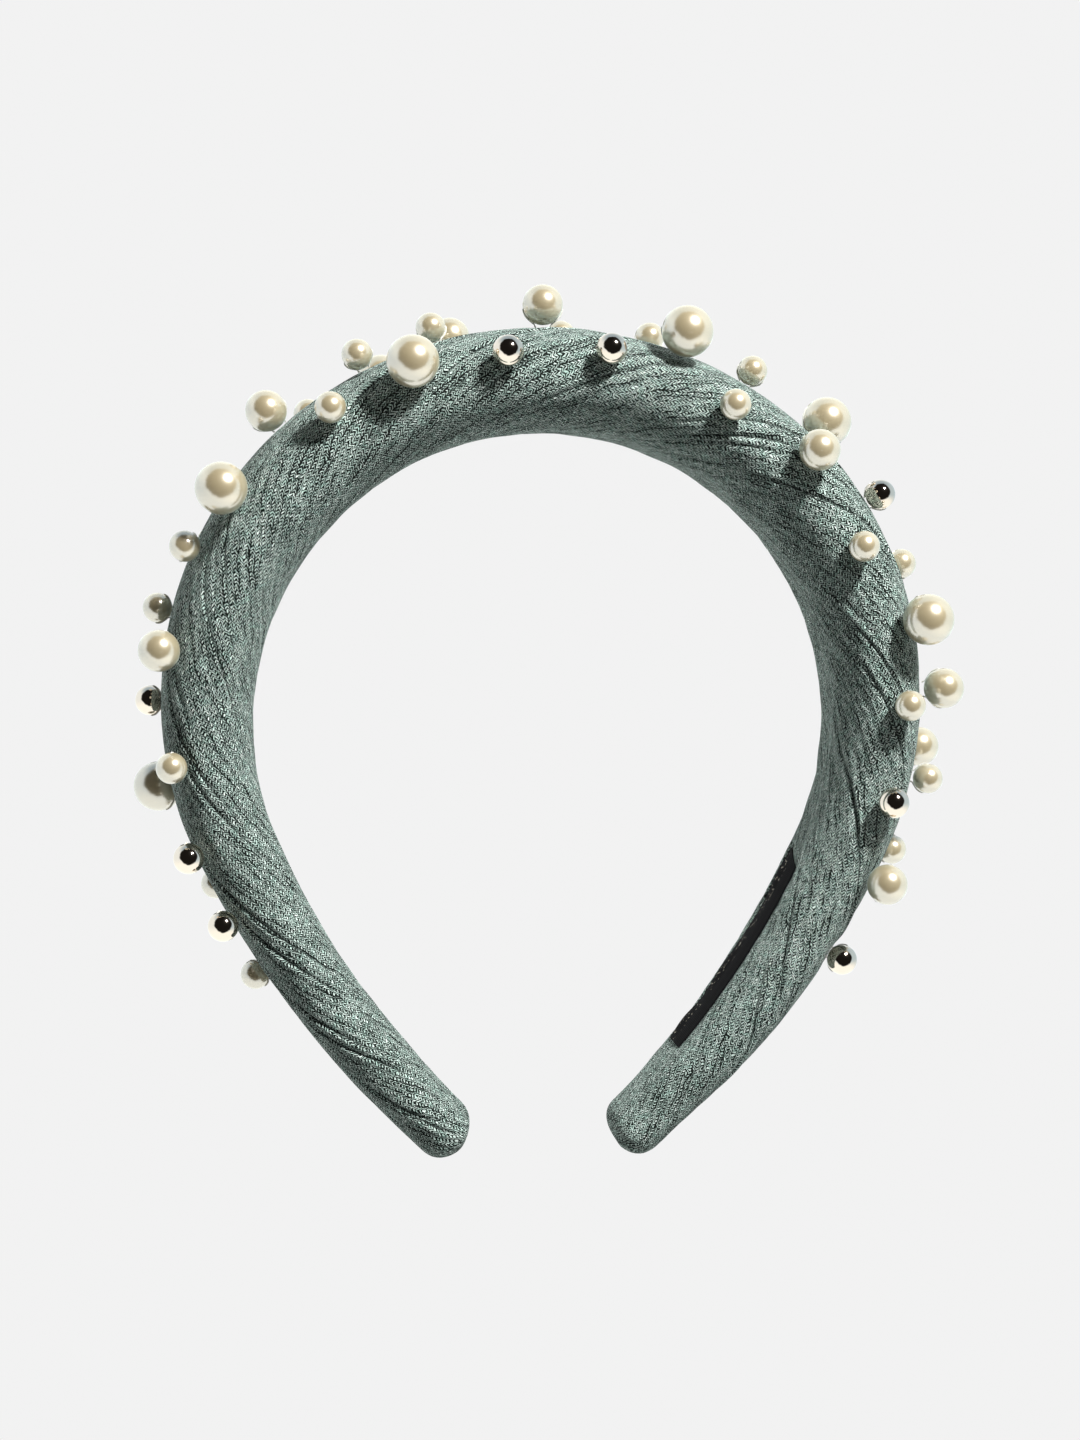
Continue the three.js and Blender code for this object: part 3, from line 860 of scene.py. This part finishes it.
def make_label(material):
    """The blank ribbon label in the right leg: woven edges, a slanted top end and a square lower end."""
    samples = 25
    across = np.sin(np.linspace(-math.pi / 2, math.pi / 2, samples)) / 2
    there = np.concatenate([across, across[::-1]])
    face = np.concatenate([np.full(samples, -0.5), np.full(samples, 0.5)])
    edge = np.exp(-(((np.abs(there) - 0.44) / 0.03) ** 2))
    body = LABEL_THICKNESS * (0.66 + 0.34 * edge) * np.sqrt(np.clip(1 - (2 * np.abs(there)) ** 24, 0.02, 1))
    share = np.linspace(0, 1, 90)[:, None]
    y = there[None, :] * LABEL_WIDTH + 0 * share
    start = LABEL_START - LABEL_SLANT * y
    place = start + (LABEL_END - start) * share
    step = 0.01 * MM
    rise = (inner_height(place, y + step) - inner_height(place, y - step)) / (2 * step)
    lean = np.sqrt(1 + rise ** 2)
    off = LABEL_SINK - LABEL_GAP - LABEL_THICKNESS / 2 + face * body
    off = off - extra_padding(place, -math.pi / 2)
    buckle = 0.5 - 0.5 * np.cos((place - start) / (2.7 * MM) + 1.2 * np.sin((place - start) / (6.5 * MM)))
    off = off - LABEL_BUCKLE * buckle * smoothstep(there[None, :], 0.0, 0.35) - 0.03 * MM * buckle
    rings = on_band(place, y - rise / lean * off, inner_height(place, y) + off / lean)
    woven = np.stack([there[None, :] + 0.5 + 0 * place, place / LABEL_RIB], axis=-1).reshape(-1, 2)
    uvs = {"weave": np.concatenate([woven[f] for f in tube_faces(*rings.shape[:2])])}
    label = swept_solid("label_strip", rings, material, uvs)
    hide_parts("label_ribbon")
    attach(label, "right_leg")
    return label


def make_foam(side, material):
    """One half of the foam pad: the padded outline less the cover's wall, with a channel for the hoop."""
    inset = COVER_WALL + CLEARANCE
    end = HALF_LENGTH - inset
    rings = []
    for place in side * half_places(3 * MM):
        if abs(place) > end - 0.6 * MM:
            continue
        depth = tapered(place, (CROWN_DEPTH, TIP_DEPTH))
        half = tapered(place, HOOP_DEPTH) / 2 + CLEARANCE
        lip = math.acos((2 * half / depth) ** (INNER_FULLNESS / 2)) - 0.06
        turn = np.linspace(-lip, math.pi + lip, 49)
        y, height = outline(np.full_like(turn, place), turn, end)
        dy, dh = np.gradient(y), np.gradient(height)
        run = np.hypot(dy, dh)
        y, height = y - inset * dh / run, height + inset * dy / run
        top = HOOP_TOP + CLEARANCE
        slot_y = np.linspace(y[-1], y[0], 5)
        y = np.concatenate([y, slot_y])
        height = np.concatenate([height, np.full(5, top)])
        rings.append(on_band(np.full_like(y, place), y, height))
    foam = swept_solid(f"foam_pad_{side_name(side)}", np.stack(rings), material)
    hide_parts("foam_pad_crown", f"foam_pad_{leg_name(side)}")
    bend_with_leg(foam)
    return foam


def make_hoop(side, material):
    """One half of the springy hoop: a flat strip with rounded edges and a rounded end."""
    end = HALF_LENGTH - HOOP_END_GAP
    turn = np.linspace(0, 2 * math.pi, 29)[:-1]
    rings = []
    straight = np.linspace(0, end - HOOP_ROUNDING, 70)
    rounded = end - HOOP_ROUNDING + HOOP_ROUNDING * np.sin(np.linspace(0.2, 1.5, 7))
    for place in np.concatenate([straight, rounded]):
        past = np.clip((place - end) / HOOP_ROUNDING + 1, 0, 1)
        half = tapered(place, HOOP_DEPTH) / 2 * math.sqrt(1 - past * past * 0.9)
        y = half * signed_power(np.cos(turn), 0.25)
        height = (HOOP_BOTTOM + HOOP_TOP) / 2 + HOOP_THICKNESS / 2 * signed_power(np.sin(turn), 0.6)
        rings.append(on_band(np.full_like(y, side * place), y, height))
    hoop = swept_solid(f"hoop_strip_{side_name(side)}", np.stack(rings), material)
    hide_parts("hoop_core_crown", f"hoop_core_{leg_name(side)}")
    bend_with_leg(hoop)
    return hoop


# ------------------------------------------------------------------ beads and their threads


BEAD_HOLE = 0.5 * MM            # radius
BEAD_LIP = 0.22 * MM            # rounding of the hole's mouth
THREAD = 0.14 * MM              # radius of the doubled sewing thread


def bead_axes(centre):
    """Directions at a bead: along the band, through its hole, and straight away from the cover."""
    x, z = centre.x, centre.z - ARCH_CENTRE_Z
    place = math.atan2(abs(x), z) * ARCH_RADIUS
    if place > ARCH_LENGTH:
        places = np.linspace(ARCH_LENGTH, HALF_LENGTH, 400)
        middle = on_band(places, 0 * places, thickness(places) / 2)
        place = places[np.argmin(np.hypot(middle[:, 0] - abs(x), middle[:, 2] - centre.z))]
    side = 1 if x > 0 else -1
    angle = float(in_band(np.array(side * place))[2])
    along = Vector((math.cos(angle), 0, -math.sin(angle)))
    core = Vector(on_band(np.array([side * place]), np.array([0.0]), thickness(np.array([place])) / 2)[0])
    away = centre - core
    away -= along * away.dot(along)
    return along, away.normalized()


def ball_with_hole(name, centre, diameter, axis, material):
    """A bead: a lathed ball with a rounded hole mouth, its hole along axis."""
    radius, hole, lip = diameter / 2, BEAD_HOLE, BEAD_LIP
    start = math.asin((hole + lip) / radius)
    profile = []
    for turn in np.linspace(start, math.pi - start, 31):
        profile.append((radius * math.sin(turn), -radius * math.cos(turn)))
    face = profile[-1][1]
    for turn in np.linspace(0.35, math.pi / 2, 4):
        height = face - lip * (1 - math.cos(turn)) * 0.9 - 0.02 * MM
        profile.append((hole + lip * (1 - math.sin(turn)), height))
    profile += [(r, -z) for r, z in profile[:-5:-1]]
    around = 44
    angles = np.arange(around) / around * 2 * math.pi
    rings = np.array([[(r * math.cos(a), r * math.sin(a), z) for a in angles] for r, z in profile])
    turn = Vector((0, 0, 1)).rotation_difference(axis).to_matrix()
    points = rings.reshape(-1, 3) @ np.array(turn).T
    quads = list(ring_faces(len(profile) + 1, around))
    quads = [np.mod(q, len(profile) * around) for q in quads]
    obj = make_object(name, points, quads, material)
    obj.location = centre
    return obj


def thread_through(name, centre, diameter, along, away, material):
    """The stitch that holds a bead: out of the cover, through the hole and back into the cover."""
    radius = diameter / 2
    arm = [(0.36, -1.0 - 0.6 * MM / radius), (0.42, -0.96)]
    snug = 1 + THREAD / radius
    arm += [(snug * math.cos(a), -snug * math.sin(a)) for a in np.radians((62, 46, 30, 14))]
    arm.append((0.86, 0.0))
    route = [centre - along * radius * a + away * radius * h for a, h in arm]
    route += [centre + along * radius * a + away * radius * h for a, h in arm[::-1]]
    points = np.array([tuple(p) for p in route])
    steps = 57
    fine = np.linspace(0, len(points) - 1, steps)
    path = np.stack([np.interp(fine, np.arange(len(points)), points[:, k]) for k in range(3)], axis=1)
    for _ in range(2):
        path[1:-1] = (path[:-2] + 2 * path[1:-1] + path[2:]) / 4
    heading = np.gradient(path, axis=0)
    heading /= np.linalg.norm(heading, axis=1, keepdims=True)
    sideways = np.cross(heading, np.cross(along, away))
    sideways /= np.linalg.norm(sideways, axis=1, keepdims=True)
    upright = np.cross(heading, sideways)
    turn = np.linspace(0, 2 * math.pi, 9)[:-1][None, :, None]
    twist = 1 + 0.18 * np.cos(2 * turn + np.linspace(0, 14 * math.pi, steps)[:, None, None])
    outwards = np.cos(turn) * sideways[:, None] + np.sin(turn) * upright[:, None]
    rings = path[:, None] + THREAD * twist * outwards
    return swept_solid(name, rings - np.array(centre), material)


def make_beads(pearl, silver, thread):
    for name, kind, centre, diameter in beads():
        along, away = bead_axes(centre)
        finish, material = ("silver_bead", silver) if kind == "silver_bead" else ("pearl", pearl)
        ball = ball_with_hole(f"{name}_ball", centre, diameter, along, material)
        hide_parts(name)
        attach_bead(ball, centre)
        stitch = thread_through(f"{name}_stitch", centre, diameter, along, away, thread)
        stitch.location = centre
        attach_bead(stitch, centre)


# ------------------------------------------------------------------ scene


CAMERA_AZIMUTH = math.radians(-6.4)
CAMERA_ELEVATION = math.radians(4.5)
CAMERA_ROLL = math.radians(0.88)
CAMERA_DISTANCE = 0.5
CAMERA_HEIGHT_IN_VIEW = 0.288   # how much the picture takes in from top to bottom at the arch's centre
AIM_IN_VIEW = Vector((-0.71 * MM, 0.7 * MM, 0))  # where it points, from the arch's centre in the picture


def add_camera():
    back = Vector((math.sin(CAMERA_AZIMUTH) * math.cos(CAMERA_ELEVATION),
                   -math.cos(CAMERA_AZIMUTH) * math.cos(CAMERA_ELEVATION),
                   math.sin(CAMERA_ELEVATION)))
    turn = (-back).to_track_quat("-Z", "Y") @ Matrix.Rotation(CAMERA_ROLL, 3, "Z").to_quaternion()
    data = bpy.data.cameras.new("camera")
    camera = bpy.data.objects.new("camera", data)
    bpy.context.scene.collection.objects.link(camera)
    data.sensor_width = 36
    data.lens = data.sensor_width * CAMERA_DISTANCE / CAMERA_HEIGHT_IN_VIEW
    data.clip_start = 0.01
    data.dof.use_dof = False
    camera.rotation_mode = "QUATERNION"
    camera.location = ARCH_CENTRE + turn @ AIM_IN_VIEW + back * CAMERA_DISTANCE
    camera.rotation_quaternion = turn
    bpy.context.scene.camera = camera


def add_light(name, direction, distance, size, energy):
    data = bpy.data.lights.new(name, "AREA")
    data.shape = "DISK"
    data.size = size
    data.energy = energy
    lamp = bpy.data.objects.new(name, data)
    bpy.context.scene.collection.objects.link(lamp)
    direction = Vector(direction).normalized()
    lamp.location = ARCH_CENTRE + direction * distance
    lamp.rotation_mode = "QUATERNION"
    lamp.rotation_quaternion = direction.to_track_quat("Z", "Y")
    return lamp


PAPER = 0.887                   # how bright the paper looks to the camera


def build_world():
    """White paper to the eye; a dim studio for diffuse light; a white room with a dark front for gloss."""
    scene = bpy.context.scene
    scene.view_settings.view_transform = "Standard"
    world = bpy.data.worlds.new("studio")
    scene.world = world
    world.use_nodes = True
    g = Graph(world.node_tree)
    direction = g.node("ShaderNodeTexCoord").outputs["Generated"]
    split = g.node("ShaderNodeSeparateXYZ", {0: direction})
    behind = g.smooth(split.outputs[1], 0.1, 0.65)
    above = g.smooth(split.outputs[2], 0.1, 0.8)
    below = g.smooth(split.outputs[2], -0.7, -0.1, 1.0, 0.0)
    paper = g.smooth(split.outputs[0], -0.8, 0.4, 2.7, 2.1)
    sideways = g.smooth(split.outputs[0], -0.6, 0.8, 0.2, 0.55)
    soft = g.add(g.multiply(behind, paper), g.add(g.multiply(above, 0.2), g.multiply(below, sideways)))
    beside = g.smooth(split.outputs[0], 0.2, 0.9, 0.0, 0.2)
    soft = g.add(g.add(soft, beside), 0.035)
    diffuse = g.node("ShaderNodeCombineXYZ", {0: soft, 1: soft, 2: soft}).outputs[0]

    toward = g.node("ShaderNodeVectorMath", {0: direction, 1: Vector((0.0, -0.9, 0.42)).normalized()},
                    operation="DOT_PRODUCT").outputs["Value"]
    toward = g.add(toward, g.multiply(g.subtract(g.noise(direction, 2.2, 2.0), 0.5), 0.35))
    dark_front = g.smooth(toward, 0.3, 0.48)
    ceiling = g.smooth(split.outputs[2], 0.5, 0.95)
    right = g.smooth(split.outputs[0], 0.1, 0.7)
    room = g.mix(right, (1.1, 1.19, 1.22, 1), (0.62, 0.78, 0.88, 1))
    room = g.mix(ceiling, room, (0.45, 0.58, 0.68, 1))
    table = g.smooth(split.outputs[2], -0.7, 0.05, 1.0, 0.0)
    room = g.mix(table, room, (1.35, 1.4, 1.36, 1))
    room = g.mix(dark_front, room, (0.012, 0.011, 0.010, 1))

    rays = g.node("ShaderNodeLightPath").outputs
    colour = g.mix(rays["Is Glossy Ray"], diffuse, room)
    colour = g.mix(rays["Is Camera Ray"], colour, (PAPER, PAPER, PAPER, 1))
    g.feed(world.node_tree.nodes["Background"].inputs["Color"], colour)


def build_floor():
    """A pale floor well below the object, that the eye sees as the same paper."""
    material, g, shader = new_material("pale_floor")
    grain = g.noise(g.node("ShaderNodeTexCoord").outputs["Object"], 3.0)
    paper = g.mix(grain, (PAPER, PAPER, PAPER, 1), (PAPER * 0.995, PAPER * 0.995, PAPER * 0.995, 1))
    settle(g, shader, Base_Color=(0.008, 0.008, 0.008, 1), Roughness=0.9, Emission_Color=paper,
           Emission_Strength=0.985, Specular_IOR_Level=0.0)
    size, low = 0.3, -0.42
    corners = [(-size, -size, low), (size, -size, low), (size, size, low), (-size, size, low)]
    floor = make_object("floor", corners, [(0, 1, 2, 3)], material)
    floor.visible_glossy = False


add_camera()
build_world()
build_floor()
add_light("key", (0.39, -0.57, 0.72), 1.1, 0.16, 28)
add_light("fill", (0.12, -1.0, -0.06), 1.1, 0.26, 1.6).visible_glossy = False

grid = CoverGrid(STATION_STEP, COLUMNS)
surface, crease = cover_surface(grid)
knit = knit_material()
foam = foam_material()
plastic = hoop_material()
for side in (-1, 1):
    make_cover(side, grid, surface, crease, knit)
    make_foam(side, foam)
    make_hoop(side, plastic)
make_label(ribbon_material())
make_beads(pearl_material(), silver_material(), thread_material())
